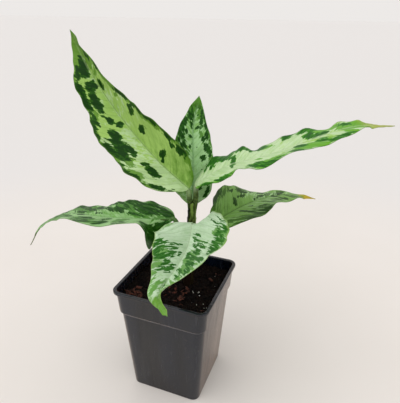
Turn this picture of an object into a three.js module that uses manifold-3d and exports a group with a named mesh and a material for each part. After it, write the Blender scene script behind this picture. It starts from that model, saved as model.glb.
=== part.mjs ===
// Potted chinese evergreen: one young plant in a square plastic nursery pot.
// A single stem stands in the potting mix and carries six variegated, wavy-edged leaves.
// Millimetres, +Z up. The origin is the centre of the pot's underside, and the pot's front faces -Y.

import * as THREE from 'three';
import { mergeVertices } from 'three/addons/utils/BufferGeometryUtils.js';
import Module from 'manifold-3d';

const wasm = await Module();
wasm.setup();

// ---- driving dimensions ----

const fitGap = 0.3; // clearance between pieces that touch

const pot = {
  height: 100,
  rimHalf: 40, // half width over the lip
  baseHalf: 30, // half width of the underside
  taper: 0.072, // widening of each wall per millimetre of height
  lipOverhang: 1.5,
  lipHeight: 3,
  bandBottom: 79, // lower edge of the band that stands proud below the lip
  bandStep: 1.25,
  wall: 1.2,
  floor: 2,
  topCorner: 7.5, // corner radius at the rim
  baseCorner: 6,
  drainRadius: 4,
  drainOffset: 17, // from the centre to each drain hole, along X and along Y
  edge: 0.8, // small round on the base's and the lip's edges
  cornerSteps: 6,
};

const mix = {
  level: 92, // mean height of the surface
  lump: 1.1, // height of its lumps
  broadLump: 7, // their lengths, broad and fine, each divided by 2 pi
  fineLump: 3,
  sideSteps: 6, // along each straight side
  surfaceRings: 9, // from the wall to the middle
};

const stem = {
  route: [[8, 5, 62], [8, 5, 93], [9, 5, 125], [10, 6, 150], [10, 7, 166]],
  baseRadius: 5,
  topRadius: 3.6,
  sheaths: [98, 112, 120, 132, 143, 153], // heights where a leaf's sheath wraps the stem
  sheathStep: 0.35,
  sheathLength: 6, // height over which a sheath stands proud below its end
  sides: 16,
  steps: 26,
};

const petiole = {
  baseRadius: 2.3,
  endRadius: 0.9,
  underRib: 0.08, // how far it runs on below the midrib, as a share of the blade
  drop: 0.7, // depth of that run below the blade's middle surface
  sides: 8,
  steps: 14,
};

const blade = {
  thickness: 0.7,
  ribDepth: 0.9, // how far the midrib stands out below, halfway along
  columns: [-1, -0.72, -0.42, -0.13, 0, 0.13, 0.42, 0.72, 1], // shares of the half width
  stations: 28,
  leastHalfWidth: 0.8,
  calmWidth: 8, // half width under which folds and waves flatten out
  calmBase: 0.04, // and the share of the length over which they start
  lobeReach: 0.25, // share of the length that a lobe bends
};

// Each leaf: its stalk from inside the stem, its midrib from base to tip, the way its upper
// face looks at base, middle and tip, then for the left and right half how far it is folded up
// at base and tip (degrees), curled down at the edge, drawn back into a lobe, and waved.
const leaves = [
  {
    name: 'leaf_upper_left',
    stalk: [[10, 6, 150], [8, 7, 166]],
    midrib: [[6, 10, 174], [-23, 12, 195], [-57, 21, 222], [-85, 28, 252], [-110, 39, 284]],
    halfWidth: 26,
    round: 0.55,
    point: 1,
    faces: [[1, -0.2, 0], [0.3, -0.9, -0.2], [0, -1, -0.2]],
    fold: [[10, 50], [40, 30]],
    curl: [0.05, -0.05],
    lobe: [0, 0],
    wave: { height: 2.1, count: 4, shift: [0.3, 0.65] },
    color: 0x6f9a55,
  },
  {
    name: 'leaf_upright',
    stalk: [[9, 5, 116], [7, 18, 136]],
    midrib: [[0, 30, 151], [3, 26, 172], [0, 33, 195], [-5, 47, 215], [-7, 64, 235]],
    halfWidth: 17,
    round: 0.6,
    point: 0.9,
    faces: [[0.3, -0.9, 0.3], [0.4, -0.8, 0.4], [0.2, -0.8, 0.6]],
    fold: [[5, 5], [40, 25]],
    curl: [0.1, 0.1],
    lobe: [0, 0],
    wave: { height: 1.5, count: 4, shift: [-0.4, 0.5] },
    color: 0x4f7d55,
  },
  {
    name: 'leaf_upper_right',
    stalk: [[10, 6, 150], [12, 9, 167]],
    midrib: [[9, 15, 177], [33, 17, 194], [63, 29, 204], [113, 56, 222], [146, 82, 221]],
    halfWidth: 22,
    round: 0.5,
    point: 0.9,
    faces: [[-0.4, -0.4, 0.8], [-0.7, -0.1, 0.7], [-0.2, -0.4, 0.9]],
    fold: [[10, 15], [5, 5]],
    curl: [0.1, 0.1],
    lobe: [0, 0],
    wave: { height: 1.9, count: 4.5, shift: [-0.4, -0.2] },
    color: 0x86ab78,
  },
  {
    name: 'leaf_lower_right',
    stalk: [[9, 5, 112], [18, 8, 132]],
    midrib: [[28, 11, 150], [39, 38, 152], [52, 63, 152], [71, 86, 150], [94, 105, 142]],
    halfWidth: 23,
    round: 0.5,
    point: 1.25,
    faces: [[-0.1, -0.5, 0.9], [-0.5, 0.4, 0.8], [0.8, 0.4, -0.4]],
    fold: [[60, 5], [-10, -20]],
    curl: [0, 0.05],
    lobe: [0, 0.07],
    wave: { height: 1.8, count: 2.6, shift: [0.3, 0] },
    color: 0x4c7a3d,
  },
  {
    name: 'leaf_lower_left',
    stalk: [[9, 5, 112], [2, 4, 134]],
    midrib: [[-2, 2, 151], [-30, -14, 153], [-57, -21, 153], [-85, -19, 150], [-112, -22, 136], [-127, -24, 114]],
    halfWidth: 26,
    round: 0.37,
    point: 1.2,
    faces: [[-0.2, -0.3, 0.9], [0.2, 0, 1], [0.4, 0, 0.9]],
    fold: [[40, 5], [0, -15]],
    droop: { angle: 90, from: 0.06, to: 0.18 }, // its left half hangs straight down near the base
    curl: [0.1, 0.05],
    lobe: [-0.15, 0],
    wave: { height: 0.9, count: 4.3, shift: [0.3, -0.3] },
    color: 0x46703f,
  },
  {
    name: 'leaf_front',
    stalk: [[9, 5, 120], [11, 1, 138]],
    midrib: [[13, 0, 151], [20, -26, 147], [24, -54, 147], [26, -82, 145], [36, -100, 145]],
    halfWidth: 27,
    round: 0.5,
    point: 1.6,
    faces: [[0.4, -0.8, 0.4], [0.4, -0.7, 0.5], [-0.1, -0.6, 0.8]],
    fold: [[40, 10], [45, 35]],
    curl: [-0.25, 0.3],
    lobe: [0, 0],
    wave: { height: 2, count: 3.3, shift: [-0.6, 0.1] },
    color: 0x7ba56c,
  },
];

// ---- solids ----

function toSolid(geometry) {
  const bare = geometry.clone();
  bare.deleteAttribute('normal');
  bare.deleteAttribute('uv');
  const merged = mergeVertices(bare, 1e-4);
  return new wasm.Manifold(new wasm.Mesh({
    numProp: 3,
    vertProperties: new Float32Array(merged.attributes.position.array),
    triVerts: new Uint32Array(merged.index.array),
  }));
}

function toMesh(name, solid, material) {
  const { vertProperties, triVerts } = solid.getMesh();
  const geometry = new THREE.BufferGeometry();
  geometry.setAttribute('position', new THREE.BufferAttribute(vertProperties, 3));
  geometry.setIndex(new THREE.BufferAttribute(triVerts, 1));
  geometry.computeVertexNormals();
  const mesh = new THREE.Mesh(geometry, material);
  mesh.name = name;
  return mesh;
}

// Skins closed rings of points into one body, with a fan over the first and the last ring.
function loft(rings) {
  const count = rings[0].length;
  const points = rings.flat();
  const index = [];
  for (let r = 0; r < rings.length - 1; r += 1) {
    for (let i = 0; i < count; i += 1) {
      const j = (i + 1) % count;
      const a = r * count + i;
      const b = r * count + j;
      index.push(a, b, b + count, a, b + count, a + count);
    }
  }
  const first = points.push(ringCentre(rings[0])) - 1;
  const last = points.push(ringCentre(rings.at(-1))) - 1;
  const start = (rings.length - 1) * count;
  for (let i = 0; i < count; i += 1) {
    const j = (i + 1) % count;
    index.push(first, j, i);
    index.push(last, start + i, start + j);
  }
  const geometry = new THREE.BufferGeometry().setFromPoints(points);
  geometry.setIndex(index);
  return geometry;
}

function ringCentre(ring) {
  const sum = ring.reduce((total, point) => total.add(point), new THREE.Vector3());
  return sum.divideScalar(ring.length);
}

// A tube of changing radius along a curve: a cylinder whose rings are carried along it.
// Its flat ends stand out past the curve by endGap.
function tube(curve, radiusAt, sides, steps, endGap = 0) {
  const geometry = new THREE.CylinderGeometry(1, 1, 1, sides, steps);
  const frames = curve.computeFrenetFrames(steps);
  const position = geometry.attributes.position;
  const point = new THREE.Vector3();
  for (let i = 0; i < position.count; i += 1) {
    point.fromBufferAttribute(position, i);
    const share = 0.5 - point.y;
    const ring = Math.round(share * steps);
    const radius = radiusAt(share);
    const centre = curve.getPointAt(share);
    centre.addScaledVector(frames.normals[ring], point.x * radius);
    centre.addScaledVector(frames.binormals[ring], point.z * radius);
    if (ring === 0) centre.addScaledVector(frames.tangents[0], -endGap);
    if (ring === steps) centre.addScaledVector(frames.tangents[steps], endGap);
    position.setXYZ(i, centre.x, centre.y, centre.z);
  }
  return geometry;
}

function curveThrough(points) {
  const vectors = points.map((point) => new THREE.Vector3(...point));
  return new THREE.CatmullRomCurve3(vectors, false, 'catmullrom', 0.5);
}

// ---- pot ----

// A level square with rounded corners, each straight side in sideSteps equal steps.
function squareRing(half, radius, z, sideSteps = 1) {
  const ring = [];
  const inset = (half - radius) * Math.SQRT2;
  for (let corner = 0; corner < 4; corner += 1) {
    const middle = (Math.PI / 2) * (corner + 0.5);
    for (let step = 0; step <= pot.cornerSteps; step += 1) {
      const angle = (Math.PI / 2) * (corner + step / pot.cornerSteps);
      ring.push(new THREE.Vector3(
        inset * Math.cos(middle) + radius * Math.cos(angle),
        inset * Math.sin(middle) + radius * Math.sin(angle),
        z,
      ));
    }
    const along = (Math.PI / 2) * (corner + 1);
    const sideStart = ring.at(-1);
    const sideLength = 2 * (half - radius);
    for (let step = 1; step < sideSteps; step += 1) {
      const shift = (sideLength * step) / sideSteps;
      const direction = new THREE.Vector3(-Math.sin(along), Math.cos(along), 0);
      ring.push(sideStart.clone().addScaledVector(direction, shift));
    }
  }
  return ring;
}

function wallHalf(z) {
  const plain = pot.baseHalf + pot.taper * z;
  return z >= pot.bandBottom ? plain + pot.bandStep : plain;
}

function cornerAt(z) {
  return pot.baseCorner + (pot.topCorner - pot.baseCorner) * (z / pot.height);
}

function wallRing(z, half, inward = 0) {
  return squareRing(half - inward, cornerAt(z) - inward, z);
}

function potGeometry() {
  const lipBottom = pot.height - pot.lipHeight;
  const justBelow = pot.bandBottom - pot.bandStep;
  const { edge } = pot;
  return loft([
    wallRing(0, wallHalf(0), edge),
    wallRing(edge, wallHalf(edge)),
    wallRing(justBelow, wallHalf(justBelow)),
    wallRing(pot.bandBottom, wallHalf(pot.bandBottom)),
    wallRing(lipBottom, wallHalf(lipBottom)),
    wallRing(lipBottom + edge, pot.rimHalf),
    wallRing(pot.height - edge, pot.rimHalf),
    wallRing(pot.height, pot.rimHalf, edge),
    wallRing(pot.height, pot.rimHalf, pot.lipOverhang + pot.wall),
    wallRing(pot.bandBottom, wallHalf(pot.bandBottom), pot.wall),
    wallRing(justBelow, wallHalf(justBelow), pot.wall),
    wallRing(pot.floor, wallHalf(pot.floor), pot.wall),
  ]);
}

function makePot() {
  let solid = toSolid(potGeometry());
  for (const x of [-pot.drainOffset, pot.drainOffset]) {
    for (const y of [-pot.drainOffset, pot.drainOffset]) {
      const hole = new THREE.CylinderGeometry(pot.drainRadius, pot.drainRadius, 4 * pot.floor, 16);
      hole.rotateX(Math.PI / 2);
      hole.translate(x, y, 0);
      solid = solid.subtract(toSolid(hole));
    }
  }
  const material = new THREE.MeshStandardMaterial({ color: 0x2b2b2f, roughness: 0.45, metalness: 0 });
  return toMesh('pot', solid, material);
}

// ---- stem ----

const stemCurve = curveThrough(stem.route);
const stemHeight = stem.route.at(-1)[2] - stem.route[0][2];

// The stem thins towards its top, and steps in where each leaf's sheath ends.
function stemRadius(share) {
  const z = stem.route[0][2] + share * stemHeight;
  const ends = stem.sheaths.map((height) => (height - z) / stem.sheathLength);
  const nearest = Math.min(...ends.filter((distance) => distance >= 0), 1);
  const flare = stem.sheathStep * (1 - nearest);
  return THREE.MathUtils.lerp(stem.baseRadius, stem.topRadius, share) + flare;
}

function stemGeometry(gap) {
  return tube(stemCurve, (share) => stemRadius(share) + gap, stem.sides, stem.steps, gap);
}

const stemSolid = toSolid(stemGeometry(0));
const stemRoom = toSolid(stemGeometry(fitGap));

function makeStem() {
  const material = new THREE.MeshStandardMaterial({ color: 0x5d7437, roughness: 0.55, metalness: 0 });
  return toMesh('stem', stemSolid, material);
}

// ---- potting mix ----

function mixHeight(x, y) {
  const broad = Math.sin(x / mix.broadLump + 1) * Math.cos(y / mix.broadLump);
  const fine = Math.sin((x + y) / mix.fineLump) * Math.sin((y - x) / mix.fineLump + 2);
  return mix.level + mix.lump * (0.6 * broad + 0.4 * fine);
}

function mixRing(z, reach = 1) {
  const inward = pot.wall + fitGap;
  const half = wallHalf(z) - inward;
  const radius = cornerAt(z) - inward;
  return squareRing(half * reach, radius * reach, z, mix.sideSteps);
}

// One ring of the surface, at its share of the way out from the middle.
function surfaceRing(reach) {
  const ring = mixRing(mix.level, reach);
  for (const point of ring) point.z = mixHeight(point.x, point.y);
  return ring;
}

function mixGeometry() {
  const justBelow = pot.bandBottom - pot.bandStep;
  const rings = [mixRing(pot.floor + fitGap), mixRing(justBelow), mixRing(pot.bandBottom)];
  for (let step = mix.surfaceRings; step > 0; step -= 1) {
    rings.push(surfaceRing(step / mix.surfaceRings));
  }
  return loft(rings);
}

function makeMix() {
  const solid = toSolid(mixGeometry()).subtract(stemRoom);
  const material = new THREE.MeshStandardMaterial({ color: 0x1d1612, roughness: 0.95, metalness: 0 });
  return toMesh('potting_mix', solid, material);
}

// ---- leaves ----

function vector(values) {
  return new THREE.Vector3(...values);
}

// The midrib's place at share u from base to tip, with the blade's forward, side and up
// directions there. Below u = 0 the midrib runs straight on.
function bladeFrame(leaf, u) {
  const curve = curveThrough(leaf.midrib);
  const share = THREE.MathUtils.clamp(u, 0, 1);
  const forward = curve.getTangent(share);
  const point = curve.getPoint(share);
  if (u < 0) {
    const nudge = 0.001;
    const speed = curve.getPoint(nudge).sub(point).divideScalar(nudge);
    point.addScaledVector(speed, u);
  }
  const [base, middle, tip] = leaf.faces.map((face) => vector(face).normalize());
  const up = new THREE.QuadraticBezierCurve3(base, middle, tip).getPoint(share);
  up.addScaledVector(forward, -up.dot(forward)).normalize();
  const side = new THREE.Vector3().crossVectors(forward, up);
  return { point, forward, side, up };
}

function halfWidthAt(leaf, u) {
  const widest = leaf.round / (leaf.round + leaf.point);
  const rise = (u / widest) ** leaf.round;
  const fall = ((1 - u) / (1 - widest)) ** leaf.point;
  return Math.max(leaf.halfWidth * rise * fall, blade.leastHalfWidth);
}

// Where along the midrib a point at u and v stands. A lobe above 0 draws the blade's base back
// past the stalk's end, and one below 0 cuts the base off slantwise towards the tip.
function placeAlong(leaf, u, v, width, broad) {
  const lobe = leaf.lobe[v < 0 ? 0 : 1];
  if (lobe < 0) {
    const margin = (-lobe * width) / leaf.halfWidth;
    return u + Math.abs(v) * Math.max(0, margin - u);
  }
  const nearBase = Math.max(0, 1 - u / blade.lobeReach) ** 2;
  return u - lobe * v * v * nearBase * broad;
}

// A point of the blade's middle surface, v being its share of the half width, left below 0.
function bladePoint(leaf, u, v) {
  const half = v < 0 ? 0 : 1;
  const width = halfWidthAt(leaf, u);
  const broad = THREE.MathUtils.smoothstep(width, blade.leastHalfWidth, blade.calmWidth)
    * THREE.MathUtils.smoothstep(u, 0, blade.calmBase);
  const { point, side, up } = bladeFrame(leaf, placeAlong(leaf, u, v, width, broad));
  let fold = THREE.MathUtils.lerp(leaf.fold[0][half], leaf.fold[1][half], u);
  if (leaf.droop && half === 0) {
    fold -= leaf.droop.angle * (1 - THREE.MathUtils.smoothstep(u, leaf.droop.from, leaf.droop.to));
  }
  const angle = THREE.MathUtils.degToRad(fold) * broad;
  const { height, count, shift } = leaf.wave;
  const wave = height * broad * Math.sin(2 * Math.PI * (count * u + shift[half]));
  const calm = Math.min(1, 4 * u * (1 - u) + 0.25);
  const across = v * width * Math.cos(angle);
  const lift = Math.abs(v) * width * Math.sin(angle) + v * v * (wave * calm - leaf.curl[half] * width);
  return point.addScaledVector(side, across).addScaledVector(up, lift);
}

// The blade is one thin skin: both faces have the same triangles, and the midrib stands out below.
function bladeGeometry(leaf) {
  const row = blade.columns.length;
  const middle = [];
  const ribs = [];
  const faces = [];
  for (let i = 0; i <= blade.stations; i += 1) {
    const t = i / blade.stations;
    const u = 0.5 * t + 0.25 * (1 - Math.cos(Math.PI * t));
    for (const v of blade.columns) {
      middle.push(bladePoint(leaf, u, v));
      ribs.push(v === 0 ? blade.ribDepth * 4 * u * (1 - u) : 0);
    }
  }
  for (let i = 0; i < blade.stations; i += 1) {
    for (let j = 0; j < row - 1; j += 1) {
      const a = i * row + j;
      faces.push([a, a + 1, a + row + 1], [a, a + row + 1, a + row]);
    }
  }
  const surface = new THREE.BufferGeometry().setFromPoints(middle);
  surface.setIndex(faces.flat());
  surface.computeVertexNormals();
  const normals = surface.attributes.normal;
  const normal = new THREE.Vector3();
  const upper = [];
  const lower = [];
  middle.forEach((point, i) => {
    normal.fromBufferAttribute(normals, i);
    upper.push(point.clone().addScaledVector(normal, blade.thickness / 2));
    lower.push(point.clone().addScaledVector(normal, -blade.thickness / 2 - ribs[i]));
  });

  const count = middle.length;
  const last = blade.stations * row;
  const border = [];
  for (let j = 0; j < row - 1; j += 1) border.push(j);
  for (let i = 0; i < blade.stations; i += 1) border.push(i * row + row - 1);
  for (let j = row - 1; j > 0; j -= 1) border.push(last + j);
  for (let i = blade.stations; i > 0; i -= 1) border.push(i * row);

  const index = [];
  for (const [a, b, c] of faces) index.push(a, b, c, count + a, count + c, count + b);
  border.forEach((p, k) => {
    const q = border[(k + 1) % border.length];
    index.push(count + p, count + q, q, count + p, q, p);
  });
  const geometry = new THREE.BufferGeometry().setFromPoints([...upper, ...lower]);
  geometry.setIndex(index);
  return geometry;
}

function petioleGeometry(leaf) {
  const route = leaf.stalk.map(vector);
  for (const u of [0, petiole.underRib]) {
    const { point, up } = bladeFrame(leaf, u);
    route.push(point.addScaledVector(up, -petiole.drop));
  }
  const curve = new THREE.CatmullRomCurve3(route, false, 'catmullrom', 0.5);
  const radiusAt = (share) => THREE.MathUtils.lerp(petiole.baseRadius, petiole.endRadius, share ** 2);
  return tube(curve, radiusAt, petiole.sides, petiole.steps);
}

function makeLeaf(leaf) {
  const whole = toSolid(bladeGeometry(leaf)).add(toSolid(petioleGeometry(leaf)));
  const material = new THREE.MeshStandardMaterial({ color: leaf.color, roughness: 0.4, metalness: 0 });
  return toMesh(leaf.name, whole.subtract(stemRoom), material);
}

// ---- the plant in its pot ----

const plant = new THREE.Group();
plant.add(makePot(), makeMix(), makeStem());
for (const leaf of leaves) plant.add(makeLeaf(leaf));

export default plant;
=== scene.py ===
"""A potted chinese evergreen: one young plant with six variegated leaves in a square nursery pot.

Metres, +Z up. The pot stands on the origin and its front faces -Y.
"""

import math
import random

import bmesh
import bpy
from mathutils import Matrix, Vector, noise


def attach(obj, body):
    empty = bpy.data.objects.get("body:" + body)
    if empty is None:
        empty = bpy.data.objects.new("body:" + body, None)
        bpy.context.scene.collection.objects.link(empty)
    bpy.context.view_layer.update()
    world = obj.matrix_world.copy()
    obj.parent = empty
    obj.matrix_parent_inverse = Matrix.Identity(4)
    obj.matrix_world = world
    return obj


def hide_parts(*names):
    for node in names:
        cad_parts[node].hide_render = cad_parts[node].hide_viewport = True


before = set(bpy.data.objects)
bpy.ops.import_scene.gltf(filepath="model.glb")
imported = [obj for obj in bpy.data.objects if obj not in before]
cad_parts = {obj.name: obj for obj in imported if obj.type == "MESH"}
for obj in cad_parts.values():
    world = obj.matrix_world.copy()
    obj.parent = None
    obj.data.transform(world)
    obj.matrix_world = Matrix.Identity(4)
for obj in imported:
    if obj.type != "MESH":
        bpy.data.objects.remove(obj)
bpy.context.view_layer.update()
scene = bpy.context.scene

# ---- Camera ----
# It stands in front of the pot's right corner, about level with the highest leaf's tip, and
# looks down at the pot's mouth from 35 centimetres away.

camera_place = Vector((0.1165, -0.2611, 0.2952))
camera_right = Vector((0.93463, 0.35538, 0.01318))
camera_up = Vector((-0.15682, 0.37860, 0.91218))
camera_back = camera_right.cross(camera_up)
camera_lens = 36.81
camera_nearest = 0.01

camera = bpy.data.objects.new("camera", bpy.data.cameras.new("camera"))
scene.collection.objects.link(camera)
camera.data.lens = camera_lens
camera.data.clip_start = camera_nearest
camera.matrix_world = (
    Matrix.Translation(camera_place)
    @ Matrix((camera_right, camera_up, camera_back)).transposed().to_4x4()
)
scene.camera = camera

# ---- Light ----
# A bright room with pale walls lights the plant evenly from all round, and a broad soft glow
# comes from high at the front left.

room_colour = (0.845, 0.82, 0.80)
room_strength = 1.0
glow_strength = 0.9
glow_width = math.radians(70)
glow_from = Vector((-0.45, -0.75, 1.3))

world = bpy.data.worlds.new("room")
world.use_nodes = True
sky = world.node_tree.nodes["Background"]
sky.inputs["Color"].default_value = (*room_colour, 1)
sky.inputs["Strength"].default_value = room_strength
scene.world = world
scene.view_settings.view_transform = "Standard"

glow = bpy.data.objects.new("soft_glow", bpy.data.lights.new("soft_glow", "SUN"))
scene.collection.objects.link(glow)
glow.data.angle = glow_width
glow.data.energy = glow_strength
glow.rotation_mode = "QUATERNION"
glow.rotation_quaternion = (-glow_from).to_track_quat("-Z", "Y")

# ---- Floor ----
# A plain pale tabletop, wide enough to run out of sight on every side. It is a little warmer
# round the pot than further out.

floor_reach = 60.0
floor_clouds = 9.0
warm_reach = (0.05, 0.40)


class Shade:
    """One output of a node in a material. Reckoning with it adds the Math nodes."""

    def __init__(self, tree, output):
        self.tree = tree
        self.output = output

    def node(self, kind, settings, sockets, result=0):
        """Adds a node with its settings, then its sockets' values or links, and gives one output."""
        made = self.tree.nodes.new("ShaderNode" + kind)
        for name, value in settings.items():
            setattr(made, name, value)
        for name, value in sockets.items():
            if isinstance(value, Shade):
                self.tree.links.new(value.output, made.inputs[name])
            else:
                made.inputs[name].default_value = value
        return Shade(self.tree, made.outputs[result])

    def math(self, operation, *others):
        """What a Math node makes of this and the others."""
        return self.node("Math", {"operation": operation}, dict(enumerate((self, *others))))

    def __add__(self, other):
        return self.math("ADD", other)

    def __sub__(self, other):
        return self.math("SUBTRACT", other)

    def __rsub__(self, other):
        return self.math("MULTIPLY", -1) + other

    def __mul__(self, other):
        return self.math("MULTIPLY", other)

    __radd__ = __add__
    __rmul__ = __mul__

    def step(self, low, high):
        """0 where this is below low and 1 above high, with a smooth turn between them."""
        sockets = {"Value": self, "From Min": low, "From Max": high}
        return self.node("MapRange", {"interpolation_type": "SMOOTHSTEP"}, sockets)

    def mix(self, first, second):
        """The first colour where this is 0 and the second where it is 1."""
        return self.node("Mix", {"data_type": "RGBA"}, {0: self, 6: first, 7: second}, 2)

    def part(self, axis):
        """One number of a vector."""
        return self.node("SeparateXYZ", {}, {0: self}, "XYZ".index(axis))

    def stretched(self, x, y, z):
        return self.node("VectorMath", {"operation": "MULTIPLY"}, {0: self, 1: (x, y, z)})

    def noise(self, scale, detail=2.0, roughness=0.5):
        """Soft clouds from 0 to 1, about one cloud in 1 / scale metres."""
        sockets = {"Vector": self, "Scale": scale, "Detail": detail, "Roughness": roughness}
        return self.node("TexNoise", {}, sockets)

    def bump(self, depth):
        """A Normal for this height from 0 to 1, which stands for depth in metres."""
        return self.node("Bump", {}, {"Height": self, "Distance": depth, "Strength": 1.0})


def colour(red, green, blue):
    """A colour as seen on a screen, 0 to 255, as the light that it stands for."""
    parts = [value / 255 for value in (red, green, blue)]
    light = [p / 12.92 if p < 0.04045 else ((p + 0.055) / 1.055) ** 2.4 for p in parts]
    return (*light, 1.0)


def material(name, **fixed):
    """A new material with its shader's fixed sockets set, and the place on the piece."""
    made = bpy.data.materials.new(name)
    made.use_nodes = True
    tree = made.node_tree
    for socket, value in fixed.items():
        tree.nodes["Principled BSDF"].inputs[socket.replace("_", " ")].default_value = value
    return made, Shade(tree, tree.nodes.new("ShaderNodeTexCoord").outputs["Object"])


def dress(made, **varying):
    """Links what changes over the surface to the material's shader."""
    shader = made.node_tree.nodes["Principled BSDF"]
    for socket, value in varying.items():
        made.node_tree.links.new(value.output, shader.inputs[socket.replace("_", " ")])


def piece(name, bm, *finishes):
    """Makes a finished bmesh a smooth object in its place."""
    mesh = bpy.data.meshes.new(name)
    bm.to_mesh(mesh)
    bm.free()
    for finish in finishes:
        mesh.materials.append(finish)
    mesh.polygons.foreach_set("use_smooth", [True] * len(mesh.polygons))
    made = bpy.data.objects.new(name, mesh)
    scene.collection.objects.link(made)
    return made


floor_finish, place = material("pale_tabletop", Roughness=0.75)
x = place.part("X")
y = place.part("Y")
away = (x * x + y * y).step(*warm_reach)
near = place.noise(floor_clouds).mix(colour(229, 224, 219), colour(234, 229, 225))
dress(floor_finish, Base_Color=away.mix(near, colour(226, 224, 223)))

bm = bmesh.new()
bmesh.ops.create_grid(bm, x_segments=4, y_segments=4, size=floor_reach)
floor = piece("floor", bm, floor_finish)

# ---- Pot ----
# A thin-walled square nursery pot of black polypropylene, moulded in one piece. Its band below
# the lip stands proud so that pots stack, and four round holes in its floor drain it.

pot_height = 0.100
rim_half = 0.040
base_half = 0.030
wall_taper = 0.072
band_bottom = 0.079
band_step = 0.00125
lip_height = 0.003
lip_overhang = 0.0015
wall_thickness = 0.0012
floor_thickness = 0.002
base_corner = 0.006
top_corner = 0.0075
corner_steps = 10
soft_edge = 0.0006
soft_steps = 3
soft_angle = math.radians(24)
drain_radius = 0.004
drain_offset = 0.017
drain_sides = 24
# How far the painted highlight along the step below the band reaches.
ledge_highlight_reach = (0.0002, 0.0009)
pot_relief = 0.0014


def wall_half(z):
    """Half the pot's width over its walls at a height."""
    return base_half + wall_taper * z + (band_step if z >= band_bottom else 0)


def corner_radius(z):
    """The radius of the pot's upright corners at a height."""
    return base_corner + (top_corner - base_corner) * z / pot_height


def draw_on(bm, face, closes_end):
    """Draws a face out to a new one in the same place. The old one stays where it closes the end."""
    made = bmesh.ops.extrude_face_region(bm, geom=[face])["geom"]
    if not closes_end:
        bmesh.ops.delete(bm, geom=[face], context="FACES_ONLY")
    return next(item for item in made if isinstance(item, bmesh.types.BMFace))


def square_ring(verts, straight, z, half, radius):
    """Moves a square ring, with straights of that half length, to another height and size."""
    for vert in verts:
        sides = Vector((math.copysign(1, vert.co.x), math.copysign(1, vert.co.y), 0))
        turn = (Vector((vert.co.x, vert.co.y, 0)) - sides * straight).normalized()
        vert.co = sides * (half - radius) + turn * radius + Vector((0, 0, z))


def pot_shell():
    """The pot's walls, floor and lip, drawn up from its base and down again inside."""
    lip_bottom = pot_height - lip_height
    below_band = band_bottom - band_step
    outside = [0, below_band, band_bottom, lip_bottom]
    inside = [band_bottom, below_band, floor_thickness]
    rings = [(z, wall_half(z), 0) for z in outside]
    rings += [(lip_bottom + soft_edge, rim_half, 0), (pot_height, rim_half, 0)]
    rings += [(pot_height, rim_half - lip_overhang - wall_thickness, lip_overhang + wall_thickness)]
    rings += [(z, wall_half(z) - wall_thickness, wall_thickness) for z in inside]

    shell = bmesh.new()
    bmesh.ops.create_grid(shell, x_segments=1, y_segments=1, size=base_half)
    bmesh.ops.bevel(
        shell, geom=shell.verts[:], offset=base_corner, segments=corner_steps,
        profile=0.5, affect="VERTICES", material=-1,
    )
    face = max(shell.faces, key=lambda one: one.calc_area())
    straight = base_half - base_corner
    for z, half, inward in rings[1:]:
        face = draw_on(shell, face, len(shell.faces) == 1)
        radius = corner_radius(z) - inward
        square_ring(face.verts, straight, z, half, radius)
        straight = half - radius
    bmesh.ops.recalc_face_normals(shell, faces=shell.faces)
    return shell


def drain_cutter():
    """Four upright pins where the floor is open."""
    cutter = bmesh.new()
    for x in (-drain_offset, drain_offset):
        for y in (-drain_offset, drain_offset):
            bmesh.ops.create_cone(
                cutter, cap_ends=True, segments=drain_sides,
                radius1=drain_radius, radius2=drain_radius, depth=4 * floor_thickness,
                matrix=Matrix.Translation((x, y, 0)),
            )
    return piece("drain_cutter", cutter)


def apply_modifiers(made):
    """Replaces the piece's mesh with what its modifiers make of it."""
    graph = bpy.context.evaluated_depsgraph_get()
    mesh = bpy.data.meshes.new_from_object(made.evaluated_get(graph))
    made.modifiers.clear()
    made.data = mesh


# The warm sheen is a painted reflection: it warms the pot's sides where they are seen edge-on.
pot_finish, place = material(
    "black_polypropylene", Specular_IOR_Level=0.57,
    Sheen_Weight=0.30, Sheen_Roughness=0.3, Sheen_Tint=colour(226, 170, 120),
)
streaks = place.stretched(1, 1, 0.10).noise(150, 3)
waves = place.stretched(1, 1, 0.16).noise(46, 2)
scuffs = place.stretched(1, 1, 0.04).noise(620, 3, 0.6).step(0.56, 0.72)
dust = place.noise(900, 2).step(0.66, 0.78)
grain = place.noise(2600, 1)
# A painted highlight: a pale broken line along the step below the band.
ledge = (place.part("Z") - (band_bottom - band_step)).math("ABSOLUTE")
ledge_highlight = (1 - ledge.step(*ledge_highlight_reach)) * streaks * 0.8
skin = waves.step(0.35, 0.65).mix(colour(1, 6, 14), colour(8, 18, 32))
skin = (scuffs * waves * 0.28).mix(skin, colour(92, 94, 102))
skin = (dust * 0.18).mix(skin, colour(126, 112, 98))
skin = ledge_highlight.mix(skin, colour(140, 140, 146))
dress(
    pot_finish,
    Base_Color=skin,
    Roughness=0.11 + streaks * 0.16 + scuffs * 0.12 + dust * 0.2,
    Normal=(waves + streaks * 0.22 + grain * 0.03).bump(pot_relief),
)

pot = piece("nursery_pot", pot_shell(), pot_finish)
cutter = drain_cutter()
holes = pot.modifiers.new("drain_holes", "BOOLEAN")
holes.operation = "DIFFERENCE"
holes.solver = "EXACT"
holes.object = cutter
apply_modifiers(pot)
bpy.data.objects.remove(cutter)
rounding = pot.modifiers.new("soft_edges", "BEVEL")
rounding.width = soft_edge
rounding.segments = soft_steps
rounding.limit_method = "ANGLE"
rounding.angle_limit = soft_angle
rounding.harden_normals = True
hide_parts("pot")
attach(pot, "root")

# ---- Potting mix ----
# Dark peat and coir, filled to just below the lip. Its surface is broken into clods, and into
# crumbs of every size.

mix_level = 0.092
mix_gap = 0.0003
mix_steps = 110
mix_lump = 0.0011
broad_lump = 0.007
fine_lump = 0.003
clod_scale = 210
clod_height = 0.0011
crumb_scale = 520
crumb_height = 0.0016
mix_relief = 0.0009


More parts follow.
